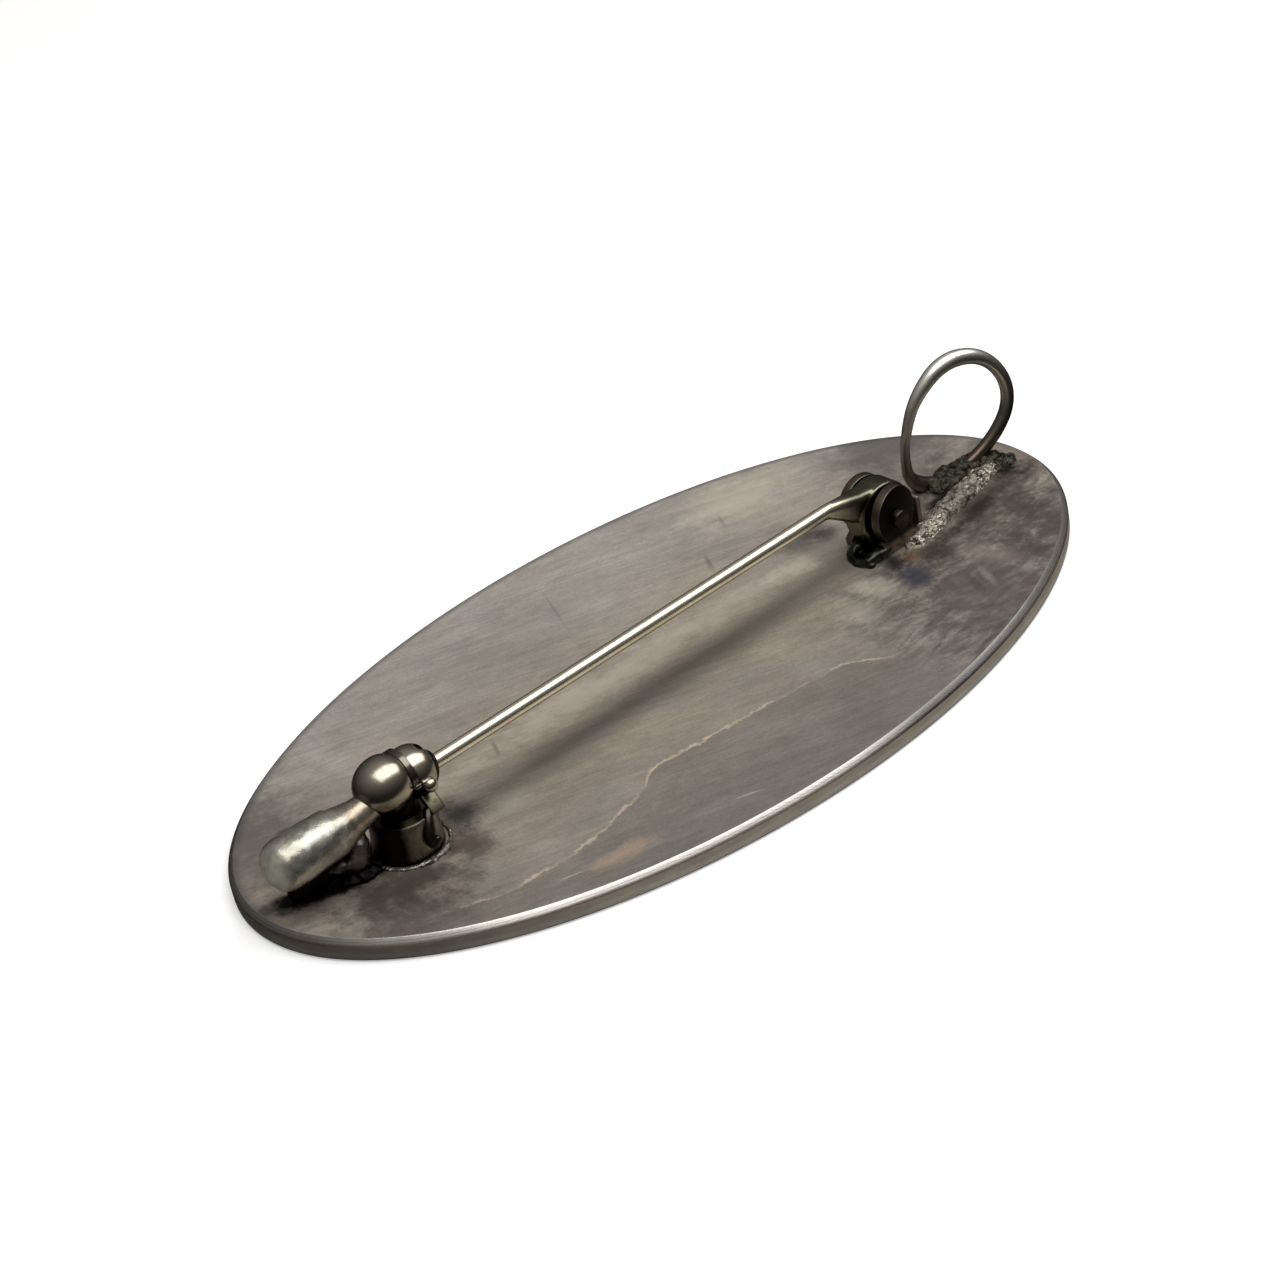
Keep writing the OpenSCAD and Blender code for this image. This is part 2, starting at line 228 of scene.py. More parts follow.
# Solders: dark hollows, bright grains, share of bright, roughness of the grains and their depth
SOLDERS = {
    "dark_solder": ((0.007, 0.008, 0.006), (0.26, 0.25, 0.18), 0.03, 0.24, 0.09),
    "bright_solder": ((0.055, 0.04, 0.028), (0.86, 0.77, 0.66), 0.14, 0.2, 0.09),
    "ring_solder": ((0.05, 0.042, 0.034), (0.5, 0.46, 0.4), 0.12, 0.3, 0.03),
}
# Where the ridge of solder is dullest along the plate
SOLDER_DULL_Y = 26.4

# Floor in metres, just below the plate's face, so that the two faces don't coincide
FLOOR_Z = -0.00002
FLOOR_HALF = 3
FLOOR_COLOUR = (0.9, 0.9, 0.9, 1)
FLOOR_GLOW = (1, 1, 1, 1)
FLOOR_GLOW_STRENGTH = 0.35
# Lamp over the brooch: place, point that it faces, size in metres and power in watts
LAMP = ((0.17, 0.23, 0.45), (0.17, 0.23, 0), (0.42, 0.9), 3.2)
# Brightness of the room by direction: sine of the height over the horizon, and radiance
SKY = [(-0.3, 0.015), (0, 0.04), (0.174, 0.08), (0.545, 0.17), (0.866, 0.35)]
SKY_TINT = (1, 0.97, 0.93)


# Frames
def turned(axis, angle):
    return Matrix.Rotation(radians(angle), 4, axis)


def moved(x, y, z):
    return Matrix.Translation((x, y, z))


def pin_line():
    """Places the pin line's millimetres in the row frame's millimetres, from the hinge joint."""
    joint = next(j for j in frame["joints"] if j["name"] == "stem_swing")
    turn = degrees(atan2(-joint["axis"][1], -joint["axis"][0]))
    x, y = joint["pos_m"][0] / MM, joint["pos_m"][1] / MM
    return moved(x, y, BACK) @ turned("Z", turn)


PIN = pin_line()
BAIL = moved(*BAIL_FOOT, BACK) @ turned("Z", BAIL_TURN)
FLAT = Matrix.Identity(4)


# Mesh building, all in millimetres
def linked(name, data):
    obj = bpy.data.objects.new(name, data)
    bpy.context.scene.collection.objects.link(obj)
    return obj


def make(name, verts, faces):
    mesh = bpy.data.meshes.new(name)
    mesh.from_pydata([tuple(v) for v in verts], [], faces)
    mesh.update()
    return linked(name, mesh)


def modify(obj, kind, **settings):
    """Changes the mesh by a modifier and applies it."""
    modifier = obj.modifiers.new(kind.lower(), kind)
    for key, value in settings.items():
        setattr(modifier, key, value)
    bpy.context.view_layer.update()
    graph = bpy.context.evaluated_depsgraph_get()
    done = bpy.data.meshes.new_from_object(obj.evaluated_get(graph))
    old = obj.data
    obj.modifiers.clear()
    obj.data = done
    bpy.data.meshes.remove(old)
    return obj


def joined(name, parts):
    """One object from several, whose own objects go."""
    work = bmesh.new()
    for part in parts:
        work.from_mesh(part.data)
        bpy.data.objects.remove(part)
    obj = make(name, [], [])
    work.to_mesh(obj.data)
    work.free()
    return obj


def facing_out(obj):
    work = bmesh.new()
    work.from_mesh(obj.data)
    bmesh.ops.recalc_face_normals(work, faces=work.faces)
    work.to_mesh(obj.data)
    work.free()
    return obj


def full_turn(count):
    """Angles of evenly spaced points round a full turn."""
    return [2 * pi * i / count for i in range(count)]


def loft(name, rings, closed=False):
    """Skin over rings of equal length. The ends are capped unless it is closed."""
    count = len(rings[0])
    verts = [v for ring in rings for v in ring]
    faces = []
    for k in range(len(rings) if closed else len(rings) - 1):
        a, b = k * count, (k + 1) % len(rings) * count
        for i in range(count):
            j = (i + 1) % count
            faces.append((a + i, a + j, b + j, b + i))
    if not closed:
        faces.append(tuple(range(count))[::-1])
        faces.append(tuple((len(rings) - 1) * count + i for i in range(count)))
    return facing_out(make(name, verts, faces))


def lathe(name, profile, segments=96, closed=False):
    """Turns (radius, height) points about Z."""
    angles = full_turn(segments)
    rings = [[Vector((r * cos(a), r * sin(a), h)) for a in angles] for r, h in profile]
    return loft(name, rings, closed)


def ball(name, centre, radius, scale=(1, 1, 1)):
    steps, pole = 48, 1e-4
    angles = [pi * k / steps for k in range(steps + 1)]
    obj = lathe(name, [(max(pole, radius * sin(a)), -radius * cos(a)) for a in angles])
    obj.data.transform(Matrix.Translation(centre) @ Matrix.Diagonal((*scale, 1)))
    return obj


def smooth_path(points, steps=6):
    """Points on a smooth curve through points with any number of values each."""
    ends = [points[0], *points, points[-1]]
    out = []
    for k in range(1, len(ends) - 2):
        p, q, r, s = ends[k - 1:k + 3]
        for i in range(steps):
            t = i / steps
            out.append([0.5 * (2 * q[n] + (r[n] - p[n]) * t
                               + (2 * p[n] - 5 * q[n] + 4 * r[n] - s[n]) * t * t
                               + (3 * q[n] - p[n] - 3 * r[n] + s[n]) * t ** 3)
                        for n in range(len(q))])
    out.append(list(points[-1]))
    return out


def cap_rings(point, ring, radius, out):
    """Rings that round off a wire's end, from its tip inwards."""
    rings = []
    for angle in CAP_ANGLES:
        c, s = cos(radians(angle)), sin(radians(angle))
        rings.append([point + v * radius * c + out * radius * s for v in ring])
    return rings


def sweep(name, path, segments=32, rounded=True):
    """Round tube along (x, y, z, radius) points, with rounded or flat ends."""
    points = [Vector(p[:3]) for p in path]
    last = len(points) - 1
    tangents = [(points[min(i + 1, last)] - points[max(i - 1, 0)]).normalized()
                for i in range(len(points))]
    normal = tangents[0].orthogonal().normalized()
    rings = []
    for i, (point, tangent) in enumerate(zip(points, tangents)):
        normal = (normal - tangent * normal.dot(tangent)).normalized()
        side = tangent.cross(normal)
        radius = path[i][3]
        ring = [normal * cos(t) + side * sin(t) for t in full_turn(segments)]
        if rounded and i == 0:
            rings += cap_rings(point, ring, radius, -tangent)
        rings.append([point + v * radius for v in ring])
        if rounded and i == last:
            rings += cap_rings(point, ring, radius, tangent)[::-1]
    return loft(name, rings)


def cut(obj, cutters):
    """Takes solids away from a mesh. Their own objects go."""
    for cutter in cutters:
        modify(obj, "BOOLEAN", operation="DIFFERENCE", solver="EXACT", object=cutter)
        bpy.data.objects.remove(cutter)
    return obj


def rod_along(name, radius, y0, y1):
    """Cylinder along Y on the hood's axis."""
    obj = lathe(name, [(AXIS, y0), (radius, y0), (radius, y1), (AXIS, y1)], 64)
    obj.data.transform(moved(0, 0, HOOD_AXIS_H) @ turned("X", -90))
    return obj


def hood_block(name, angle, width, ys, rs, bevel=0):
    """Block round the hood's axis, turned from the top towards +X."""
    corners = [(-width / 2, rs[0]), (width / 2, rs[0]), (width / 2, rs[1]), (-width / 2, rs[1])]
    obj = loft(name, [[Vector((x, y, r)) for x, r in corners] for y in ys])
    if bevel:
        modify(obj, "BEVEL", width=bevel, segments=3)
    obj.data.transform(moved(0, 0, HOOD_AXIS_H) @ turned("Y", angle))
    return obj


def slab(name, outline, xs, bevel):
    """Sheet with an outline in the YZ plane, from x to x, with rounded edges."""
    obj = loft(name, [[Vector((x, y, z)) for y, z in outline] for x in xs])
    return modify(obj, "BEVEL", width=bevel, segments=3, limit_method="ANGLE", angle_limit=radians(50))


def arc(centre, radius, start, end, steps):
    angles = [radians(start + (end - start) * i / steps) for i in range(steps + 1)]
    return [(centre[0] + radius * cos(a), centre[1] + radius * sin(a)) for a in angles]


def fused(name, parts, voxel, rounds=4):
    """One skin over overlapping parts, with softened joins."""
    obj = joined(name, parts)
    modify(obj, "REMESH", mode="VOXEL", voxel_size=voxel)
    return modify(obj, "SMOOTH", factor=0.5, iterations=rounds)


def fused_lumps(name, lumps, voxel, rounds=4):
    """One skin over balls given as (centre, radius, scale)."""
    return fused(name, [ball("lump", *lump) for lump in lumps], voxel, rounds)


def uneven(point, layers):
    """Sum of the noises at a point: (depth, size, shift) layers in millimetres."""
    return sum(depth * noise.noise(point / size + Vector((shift, 0, 0))) for depth, size, shift in layers)


def roughened(obj, layers):
    """Moves the points along their normals by noise."""
    normals = [v.normal.copy() for v in obj.data.vertices]
    for vert, normal in zip(obj.data.vertices, normals):
        vert.co += normal * uneven(vert.co, layers)
    obj.data.update()
    return obj


def ready(obj, matrix, body, material, sharp=35):
    """Puts a millimetre mesh in the row frame in metres, with its material and body."""
    obj.data.transform(Matrix.Diagonal((MM, MM, MM, 1)) @ matrix)
    obj.data.polygons.foreach_set("use_smooth", [True] * len(obj.data.polygons))
    obj.data.set_sharp_from_angle(angle=radians(sharp))
    obj.data.update()
    obj.data.materials.clear()
    obj.data.materials.append(material)
    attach(obj, body)
    return obj


def fitting(obj, material, sharp=35, place=PIN):
    """Readies a piece that is fixed to the plate."""
    return ready(obj, place, "brooch", material, sharp)


# Materials
class Shade:
    """Builds the nodes of a material or a world. Its coordinates are the row frame's, in millimetres."""

    def __init__(self, name, kind="materials"):
        self.owner = getattr(bpy.data, kind).new(name)
        self.owner.use_nodes = True
        self.tree = self.owner.node_tree
        place = self.node("ShaderNodeTexCoord", {}).outputs
        self.mm = self.scaled(place["Object"], 1 / MM)
        self.x, self.y, self.z = self.parts(self.mm)
        self.facing = self.parts(place["Normal"])

    def fill(self, node, inputs):
        """Links or sets a node's inputs, given by name or number."""
        for key, value in inputs.items():
            socket = node.inputs[key]
            if isinstance(value, bpy.types.NodeSocket):
                self.tree.links.new(value, socket)
            elif isinstance(value, tuple) and socket.type == "RGBA":
                socket.default_value = (*value, 1)
            elif value is not None:
                socket.default_value = value

    def node(self, kind, inputs, **settings):
        node = self.tree.nodes.new(kind)
        for key, value in settings.items():
            setattr(node, key, value)
        self.fill(node, inputs)
        return node

    def vector(self, operation, a, b=None):
        node = self.node("ShaderNodeVectorMath", {0: a, 1: b}, operation=operation)
        return node.outputs["Value" if operation == "LENGTH" else "Vector"]

    def scaled(self, colour, factor):
        inputs = {0: colour, "Scale": factor}
        return self.node("ShaderNodeVectorMath", inputs, operation="SCALE").outputs["Vector"]

    def math(self, operation, a, b=0, clamp=False):
        return self.node("ShaderNodeMath", {0: a, 1: b}, operation=operation, use_clamp=clamp).outputs[0]

    def plus(self, a, b):
        return self.math("ADD", a, b)

    def minus(self, a, b, clamp=False):
        return self.math("SUBTRACT", a, b, clamp)

    def times(self, first, *others):
        for other in others:
            first = self.math("MULTIPLY", first, other)
        return first

    def gap(self, value, place=0):
        """How far a value is from a place, to either side."""
        return self.math("ABSOLUTE", self.minus(value, place))

    def turned(self, vector, angle):
        inputs = {"Vector": vector, "Angle": radians(angle)}
        return self.node("ShaderNodeVectorRotate", inputs, rotation_type="Z_AXIS").outputs[0]

    def parts(self, vector):
        return self.node("ShaderNodeSeparateXYZ", {0: vector}).outputs

    def noise(self, scale, detail=3, roughness=0.5, distortion=0, vector=None):
        """Noise value. The scale is per millimetre, one number or one for each axis."""
        if vector is None:
            vector = self.mm
        if isinstance(scale, tuple):
            vector = self.vector("MULTIPLY", vector, scale)
            scale = 1
        inputs = {"Vector": vector, "Scale": scale, "Detail": detail, "Roughness": roughness,
                  "Distortion": distortion}
        return self.node("ShaderNodeTexNoise", inputs).outputs["Fac"]

    def range(self, value, low, high, to_low=0, to_high=1, smooth=True):
        inputs = {"Value": value, "From Min": low, "From Max": high, "To Min": to_low, "To Max": to_high}
        kind = "SMOOTHSTEP" if smooth else "LINEAR"
        return self.node("ShaderNodeMapRange", inputs, interpolation_type=kind).outputs["Result"]

    def fade(self, value, low, high):
        """1 up to the low value, 0 from the high value."""
        return self.range(value, low, high, 1, 0)

    def swing(self, pattern, reach):
        """Noise as an even swing to both sides of zero."""
        return self.range(pattern, 0.2, 0.8, -reach, reach, False)

    def mix(self, factor, a, b):
        return self.node("ShaderNodeMix", {0: factor, 6: a, 7: b}, data_type="RGBA").outputs[2]

    def toned(self, colour, value, low, high, at_low, at_high=1):
        """Colour times a factor that follows a value."""
        return self.scaled(colour, self.range(value, low, high, at_low, at_high))

    def spot(self, centre, half, turn=0, ragged=0.5, inner=0.1):
        """Soft ragged patch round a point of the plate: 1 inside, 0 outside."""
        away = self.turned(self.vector("SUBTRACT", self.mm, (*centre, 0)), turn)
        away = self.vector("MULTIPLY", away, (1 / half[0], 1 / half[1], 0))
        wobble = self.swing(self.noise(0.5, 6, 0.72), ragged)
        return self.fade(self.plus(self.vector("LENGTH", away), wobble), inner, 1)

    def curve(self, value, points, reach):
        """Value read from a smooth curve through (input, output) points, up to the reach."""
        low, high = points[0][0], points[-1][0]
        node = self.node("ShaderNodeFloatCurve", {"Value": self.range(value, low, high, smooth=False)})
        line = node.mapping.curves[0]
        scaled = [((x - low) / (high - low), y / reach) for x, y in points]
        line.points[0].location = scaled[0]
        line.points[1].location = scaled[-1]
        for x, y in scaled[1:-1]:
            line.points.new(x, y)
        node.mapping.use_clip = False
        node.mapping.update()
        return self.times(node.outputs[0], reach)

    def bump(self, height, depth, under=None):
        inputs = {"Height": height, "Distance": depth * MM, "Strength": 1, "Normal": under}
        return self.node("ShaderNodeBump", inputs).outputs["Normal"]

    def finish(self, colour, roughness, normal=None, metallic=1):
        looks = {"Base Color": colour, "Roughness": roughness, "Metallic": metallic, "Normal": normal}
        self.fill(self.tree.nodes["Principled BSDF"], looks)
        return self.owner


def from_edge(shade):
    """Distance in from the plate's oval edge."""
    a, b = PLATE_HALF
    reach = shade.vector("LENGTH", shade.vector("MULTIPLY", shade.mm, (1 / a, 1 / b, 0)))
    slope = shade.vector("LENGTH", shade.vector("MULTIPLY", shade.mm, (1 / a ** 2, 1 / b ** 2, 0)))
    return shade.math("DIVIDE", shade.times(shade.minus(1, reach), reach), slope)


def stain_side(shade):
    """How far a point is to the right of the stain's wavering line."""
    side = shade.minus(shade.x, shade.curve(shade.y, STAIN_LINE, STAIN_REACH))
    broad = shade.swing(shade.noise(0.5, 5, 0.6), 0.35)
    fine = shade.swing(shade.noise(2.2, 3, 0.6), 0.2)
    return shade.plus(side, shade.plus(broad, fine))


def plate_level(shade, side):
    """How bright the plate is: less to the right, and beyond the line of the stain."""
    across = shade.range(shade.x, -16, 18, 1, PLATE_FALL, False)
    beyond = shade.range(side, -1.5, 2.5, 1, 0.93)
    step = shade.range(side, -0.15, 0.2, 1, 0.84)
    return shade.times(across, beyond, step)


def plate_tone(shade, side, lines, streaks):
    """Brushed silver under warm grey tarnish."""
    clouds = shade.noise(0.13, 5, 0.55, 0.6)
    hue = shade.noise(0.25, 4, 0.6, 0.8, shade.vector("ADD", shade.mm, (40, 13, 7)))
    specks = shade.noise(6, 3, 0.6)
    colour = shade.mix(shade.range(shade.x, -14, -1, smooth=False), PLATE_LEFT, PLATE_MIDDLE)
    colour = shade.mix(shade.range(shade.x, 3, 15, smooth=False), colour, PLATE_RIGHT)
    colour = shade.mix(shade.range(hue, 0.45, 0.75, 0, 0.5), colour, PLATE_COOL)
    colour = shade.scaled(colour, plate_level(shade, side))
    for pattern, least, most in ((clouds, 0.88, 1.1), (streaks, 0.96, 1.04), (lines, 0.91, 1.09),
                                 (specks, 0.92, 1.08)):
        colour = shade.toned(colour, pattern, 0.25, 0.75, least, most)
    return colour


def blotched(shade, colour):
    """Blotches drawn out along the plate, strongest beside the bail and the hinge."""
    blots = shade.noise((0.95, 0.4, 1), 6, 0.62, 0.9)
    small = shade.noise((3, 1.3, 1), 4, 0.6, 0.4, shade.vector("ADD", shade.mm, (5, 31, 2)))
    place = shade.times(shade.range(shade.y, 6, 17), shade.range(shade.x, 1, 6))
    dark = shade.toned(colour, blots, 0.36, 0.64, 0.58, 1.22)
    dark = shade.toned(dark, small, 0.36, 0.66, 0.86, 1.14)
    return shade.mix(shade.range(place, 0, 1, 0.12), colour, dark)


def painted_stem_shadow(shade, colour):
    """Painted shadow of the stem: a soft dark band beside it."""
    across = shade.fade(shade.gap(shade.x, STEM_SHADOW[0]), 0, 2.6)
    along = shade.range(shade.gap(shade.y, STEM_SHADOW[1]), 7, 22, 1, 0.3)
    return shade.mix(shade.times(across, along, 0.62), colour, STEM_SHADOW_TINT)


def lined(shade, colour, side):
    """Thin pale line along the stain, in patches."""
    near = shade.fade(shade.gap(side), 0.02, 0.2)
    along = shade.times(shade.range(shade.y, -29, -24), shade.fade(shade.y, 8, 11))
    patchy = shade.range(shade.noise(0.5, 4), 0.36, 0.6, 0.12)
    return shade.mix(shade.times(near, along, patchy, 0.75), colour, STAIN_TINT)


def marks_and_painted_light(shade, colour):
    """Marks from the list, painted light and shade among them, and the black painted shadow under the tube.
    """
    for centre, half, turn, tint, strength in PLATE_MARKS_AND_PAINTED_LIGHT:
        colour = shade.mix(shade.times(shade.spot(centre, half, turn), strength), colour, tint)
    # Painted shadow of the tube: a black patch on the plate under it
    painted_tube_shadow = shade.spot((1, -30.4), (1.75, 5.6), 18.7, 0.3, 0.5)
    return shade.mix(painted_tube_shadow, colour, (0.01, 0.008, 0.007))


def bevel_painted_light(shade):
    """Bevel with a painted highlight high up, a thin seam, and painted light that changes round the plate.
    """
    tone = shade.mix(shade.range(shade.z, BACK - 0.34, BACK - 0.22), BEVEL_LOW, BEVEL_HIGHLIGHT)
    tone = shade.toned(tone, shade.y, -3, 8, 1, 0.3)
    tone = shade.toned(tone, shade.y, 9, 20, 1, 2.2)
    tone = shade.toned(tone, shade.plus(shade.x, shade.y), -31, -19, 0.4)
    return shade.toned(tone, shade.gap(shade.z, BACK - 0.2), 0, 0.035, 0.55)


def wall_tone_and_shade(shade):
    """Stained upright edge with painted shade towards the floor, and darker towards the tube's end."""
    stains = shade.noise((0.5, 0.5, 2.5), 5, 0.65)
    tone = shade.mix(shade.range(shade.z, 0.5, 0.8), WALL_LOW, WALL_HIGH)
    # Painted shade towards the floor
    tone = shade.toned(tone, shade.z, 0.1, 0.3, 0.4)
    tone = shade.toned(tone, stains, 0.25, 0.75, 0.85, 1.15)
    return shade.toned(tone, shade.y, -34, -14, 0.35)


def plate_material():
    shade = Shade("tarnished_plate")
    brushed = shade.turned(shade.mm, BRUSH_TURN)
    lines = shade.noise((10, 0.6, 3), 3, 0.6, vector=brushed)
    streaks = shade.noise((1.6, 0.12, 1), 5, 0.6, vector=brushed)
    side = stain_side(shade)
    inside = from_edge(shade)
    # Where the front face, the upright wall, the bevel, its wear, the grey rim and a nick are
    front = shade.fade(shade.facing[2], -0.98, -0.9)
    chamfer_foot = BACK - CHAMFER[-1][1]
    wall = shade.minus(shade.fade(shade.z, chamfer_foot - 0.03, chamfer_foot + 0.03), front, clamp=True)
    bevel = shade.fade(inside, 0.4, 0.44)
    worn = shade.range(shade.noise(1.6, 5, 0.7), 0.3, 0.5, 0.85)
    rim = shade.times(shade.fade(inside, 0.45, 1.1), shade.range(shade.x, -2, 4, 0.55, 0.1))
    nick = shade.spot((-14.92, -22.65), (0.3, 0.55), 5, 0.3)

    colour = blotched(shade, plate_tone(shade, side, lines, streaks))
    # Painted shadow beside the stem, then the stain line
    colour = lined(shade, painted_stem_shadow(shade, colour), side)
    # Marks, painted light and shade among them, then the grey rim
    colour = shade.mix(rim, marks_and_painted_light(shade, colour), RIM_TINT)
    # Worn bevel with its painted highlight and painted light
    colour = shade.mix(shade.times(bevel, worn), colour, bevel_painted_light(shade))
    colour = shade.mix(nick, colour, BARE_METAL)
    colour = shade.mix(wall, colour, wall_tone_and_shade(shade))
    colour = shade.mix(front, colour, shade.toned(PLATE_COOL, streaks, 0.25, 0.75, 0.92, 1.08))

    slope = shade.minus(bevel, wall)
    rough = shade.range(streaks, 0.2, 0.8, PLATE_ROUGHNESS - 0.04, PLATE_ROUGHNESS + 0.04)
    rough = shade.plus(rough, shade.times(slope, BEVEL_ROUGHNESS - PLATE_ROUGHNESS))
    metallic = shade.range(wall, 0, 1, PLATE_METALLIC, WALL_METALLIC)
    metallic = shade.minus(metallic, shade.times(slope, 0.25))
    metallic = shade.minus(metallic, nick, clamp=True)
    normal = shade.bump(streaks, 0.003, shade.bump(lines, 0.006))
    return shade.finish(colour, rough, normal, metallic)


def metal_shade(name, colour, dark, grain, wear):
    """Metal colour with tarnish clouds and fine grain, and painted shade where it faces the plate."""
    shade = Shade(name)
    clouds = shade.noise(grain * 0.3, 5, 0.65)
    fine = shade.noise(grain * 4, 3, 0.6)
    tint = shade.mix(shade.times(shade.range(clouds, 0.35, 0.7), wear), colour, dark)
    tint = shade.toned(tint, fine, 0.25, 0.75, 0.92, 1.08)
    # Painted shade where the metal faces the plate
    tint = shade.toned(tint, shade.facing[2], -0.75, -0.05, UNDERSIDE_SHADE)
    return shade, tint, clouds, fine


def metal_material(name, colour, dark, roughness, grain, wear, depth):
    """Silver with tarnish clouds and small scratches."""
    shade, tint, clouds, fine = metal_shade(name, colour, dark, grain, wear)
    rough = shade.range(clouds, 0.3, 0.7, roughness * 0.85, roughness * 1.25)
    return shade.finish(tint, rough, shade.bump(fine, depth) if depth else None)


def bracket_material():
    """Ears: near black on their flat sides above the foot, brown along the rim."""
    shade, tint, clouds, fine = metal_shade("dark_silver_bracket", (0.17, 0.14, 0.11),
                                            (0.06, 0.05, 0.04), 2.5, 0.7)
    flat = shade.range(shade.gap(shade.facing[0]), 0.86, 0.985)
    high = shade.range(shade.z, BACK + 0.7, BACK + 1.2)
    tint = shade.mix(shade.times(flat, high), tint, (0.008, 0.006, 0.006))
    rough = shade.range(clouds, 0.3, 0.7, 0.3, 0.44)
    return shade.finish(tint, rough, shade.bump(fine, 0.01))


def wire_material():
    """Bail wire: bright above, red brown towards its feet."""
    shade, tint, clouds, _ = metal_shade("bail_wire", (1, 0.98, 0.9), (0.86, 0.81, 0.7), 1.6, 0.6)
    tint = shade.toned(tint, shade.z, BACK + 3.5, BACK + 8, 0.36)
    feet = shade.fade(shade.z, BACK + 1, BACK + 5)
    tint = shade.mix(shade.times(feet, 0.9), tint, (0.11, 0.075, 0.055))
    return shade.finish(tint, shade.range(clouds, 0.3, 0.7, 0.28, 0.38))


def stem_material():
    """Stem: bright wire that darkens to olive over the root and the hub."""
    shade, tint, clouds, _ = metal_shade("nickel_stem", (0.9, 0.85, 0.68), (0.58, 0.53, 0.36), 1.2, 0.35)
    root = shade.range(shade.y, *STEM_ROOT_ON_PLATE)
    olive = shade.toned((0.15, 0.148, 0.098), clouds, 0.3, 0.7, 1.3, 0.5)
    return shade.finish(shade.mix(root, tint, olive), shade.range(clouds, 0.3, 0.7, 0.22, 0.32))


def shaded_hood_material():
    """Polished silver with painted shade: black inside the hood and behind the collar's window, and darker
    on the collar.
    """
    shade, tint, clouds, _ = metal_shade("polished_hood", (0.45, 0.41, 0.335), (0.24, 0.21, 0.165), 1.5, 0.4)
    axis = (*HOOD_ON_PLATE, BACK + HOOD_AXIS_H)
    x, y, z = shade.parts(shade.vector("SUBTRACT", shade.mm, axis))
    away = shade.math("SQRT", shade.plus(shade.times(x, x), shade.times(z, z)))
    front, rear = COLLAR_FRONT - HOOD.y, COLLAR_REAR - HOOD.y
    painted_inside = shade.times(shade.fade(away, HOOD_SHADE_R - 0.05, HOOD_SHADE_R + 0.05),
                         shade.range(y, front, front + 0.05))
    collar_shade = shade.times(shade.range(y, front - 0.02, front + 0.06), shade.fade(y, rear - 0.04, rear + 0.04))
    # Painted shade: darker on the collar, black inside
    tint = shade.toned(tint, collar_shade, 0, 1, 1, 0.4)
    tint = shade.mix(painted_inside, tint, (0.008, 0.008, 0.007))
    rough = shade.plus(shade.range(clouds, 0.3, 0.7, 0.187, 0.275), shade.times(painted_inside, 0.4))
    return shade.finish(tint, rough)


def base_material():
    """Catch base, greenish brown, with painted shade: black on the tube's side and stalk, dark by the plate.
    """
    shade, tint, clouds, fine = metal_shade("catch_base", (0.26, 0.24, 0.18), (0.1, 0.09, 0.06), 2.2, 0.6)
    x, y, z = shade.parts(shade.vector("SUBTRACT", shade.mm, (*DRUM_ON_PLATE, BACK)))
    side = shade.plus(shade.times(x, DRUM_LIT_SIDE[0]), shade.times(y, DRUM_LIT_SIDE[1]))
    side = shade.plus(side, shade.swing(clouds, 0.5))
    # Painted shadow of the tube on this side, then painted shade low down and on the stalk
    tint = shade.mix(shade.range(side, -0.3, 0.5), (0.015, 0.013, 0.011), tint)
    tint = shade.toned(tint, z, 0.1, 0.6, 0.1)
    tint = shade.toned(tint, z, DRUM_H - 0.03, DRUM_H + 0.03, 1, 0.05)
    rough = shade.range(clouds, 0.3, 0.7, 0.3, 0.42)
    return shade.finish(tint, rough, shade.bump(fine, 0.01))


def tube_material():
    """Worn tube in mottled olive and brown, dull on its end face."""
    shade, tint, _, fine = metal_shade("satin_tube", (0.53, 0.53, 0.47), (0.31, 0.28, 0.205), 2, 0.7)
    end = shade.fade(shade.facing[1], -0.95, -0.25)
    neck = shade.range(shade.y, *TUBE_NECK_ON_PLATE)
    mottle = shade.noise(0.9, 5, 0.65, 0.6)
    tint = shade.toned(tint, mottle, 0.3, 0.7, 0.74, 1.15)
    tint = shade.mix(neck, tint, shade.toned((0.4, 0.34, 0.26), mottle, 0.3, 0.7, 0.6, 1.2))
    tint = shade.mix(end, tint, shade.toned((0.27, 0.255, 0.205), mottle, 0.3, 0.7, 0.75, 1.25))
    rough = shade.plus(shade.range(mottle, 0.3, 0.7, 0.25, 0.34), shade.times(end, 0.2))
    metallic = shade.range(end, 0, 1, 0.9, 0.3)
    return shade.finish(tint, rough, shade.bump(mottle, 0.02, shade.bump(fine, 0.01)), metallic)


def melted_material():
    """Melted solder under the tube's neck, with black painted shade low down."""
    shade, tint, clouds, fine = metal_shade("melted_solder", (0.3, 0.265, 0.26),
                                            (0.06, 0.05, 0.045), 3, 0.8)
    # Painted shade, nearly black, low down
    tint = shade.toned(tint, shade.z, BACK + 0.5, BACK + 1.9, 0.04)
    rough = shade.range(clouds, 0.3, 0.7, 0.3, 0.45)
    return shade.finish(tint, rough, shade.bump(fine, 0.03))


